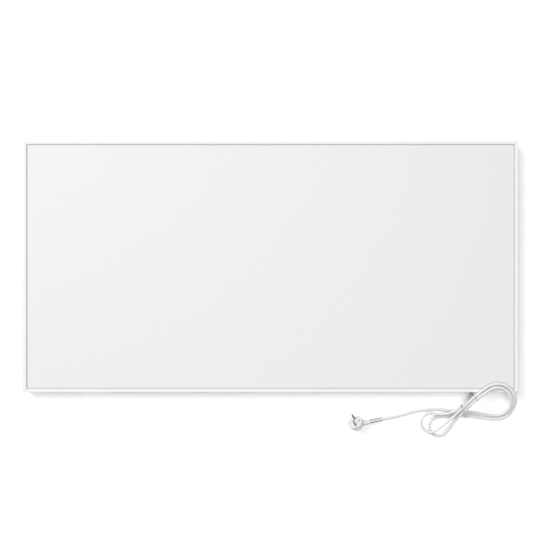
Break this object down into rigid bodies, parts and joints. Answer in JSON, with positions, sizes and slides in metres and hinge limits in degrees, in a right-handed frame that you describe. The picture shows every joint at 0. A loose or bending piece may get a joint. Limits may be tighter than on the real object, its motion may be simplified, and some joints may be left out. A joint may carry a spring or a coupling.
{
  "type": "infrared panel heater",
  "caption": "Flat rectangular heating panel in a slim mitred frame, with hanger brackets, a junction box and a bundled mains cord with plug.",
  "frame": {"origin": "on the floor under the middle of the panel, which lies on its back on its hanger brackets", "axes": "+X along the long side, towards the corner with the cord bundle; +Y up the panel as it hangs; +Z out of the heated face"},
  "size_m": [1.2, 0.721, 0.0499],
  "materials": {
    "front_enamel": "white enamel, fine texture, satin",
    "frame_coat": "white satin powder coat on an aluminium profile",
    "seal": "grey, matt",
    "film": "dark resistive film, matt",
    "copper": "bright copper",
    "foil": "bright foil",
    "board": "pressed mineral fibre, matt",
    "back_sheet": "white coated sheet, satin",
    "zinc": "zinc plated",
    "white_plastic": "white moulded, fine satin",
    "black_plastic": "black moulded",
    "cord_sheath": "white soft plastic sheath, slight sheen",
    "plug_plastic": "white moulded, slight sheen",
    "nickel": "nickel plated",
    "brown_core": "brown insulation",
    "blue_core": "blue insulation",
    "earth_core": "green and yellow insulation",
    "tie": "dark grey twist tie"
  },
  "bodies": {
    "root": {"back_plate": "back_sheet", "box_screw_1": "zinc", "box_screw_2": "zinc", "bracket_screw_lower_left_1": "zinc", "bracket_screw_lower_left_2": "zinc", "bracket_screw_lower_right_1": "zinc", "bracket_screw_lower_right_2": "zinc", "bracket_screw_upper_left_1": "zinc", "bracket_screw_upper_left_2": "zinc", "bracket_screw_upper_right_1": "zinc", "bracket_screw_upper_right_2": "zinc", "clamp_screw_1": "zinc", "clamp_screw_2": "zinc", "contact_tab_live": "copper", "contact_tab_neutral": "copper", "cord_bundle": "cord_sheath", "cord_clamp": "black_plastic", "cord_lead": "cord_sheath", "cord_sleeve": "cord_sheath", "cord_tail": "cord_sheath", "cord_tie_edge": "tie", "cord_tie_waist": "tie", "core_earth": "earth_core", "core_live": "brown_core", "core_neutral": "blue_core", "corner_key_bottom": "zinc", "corner_key_left": "zinc", "corner_key_right": "zinc", "corner_key_top": "zinc", "corner_screw_bottom": "zinc", "corner_screw_left": "zinc", "corner_screw_right": "zinc", "corner_screw_top": "zinc", "cover_screw_1": "zinc", "cover_screw_2": "zinc", "earth_screw": "copper", "frame_bottom": "frame_coat", "frame_left": "frame_coat", "frame_right": "frame_coat", "frame_top": "frame_coat", "front_plate": "front_enamel", "front_seal": "seal", "hanger_bracket_lower_left": "zinc", "hanger_bracket_lower_right": "zinc", "hanger_bracket_upper_left": "zinc", "hanger_bracket_upper_right": "zinc", "heating_film": "film", "insulation_board": "board", "junction_box": "white_plastic", "junction_box_cover": "white_plastic", "lead_earth": "earth_core", "lead_live": "brown_core", "lead_neutral": "blue_core", "overheat_cutout": "black_plastic", "plug_body": "plug_plastic", "plug_earth_strip": "nickel", "plug_pin_1": "nickel", "plug_pin_2": "nickel", "reflector_foil": "foil", "terminal_block": "black_plastic"}
  },
  "joints": []
}
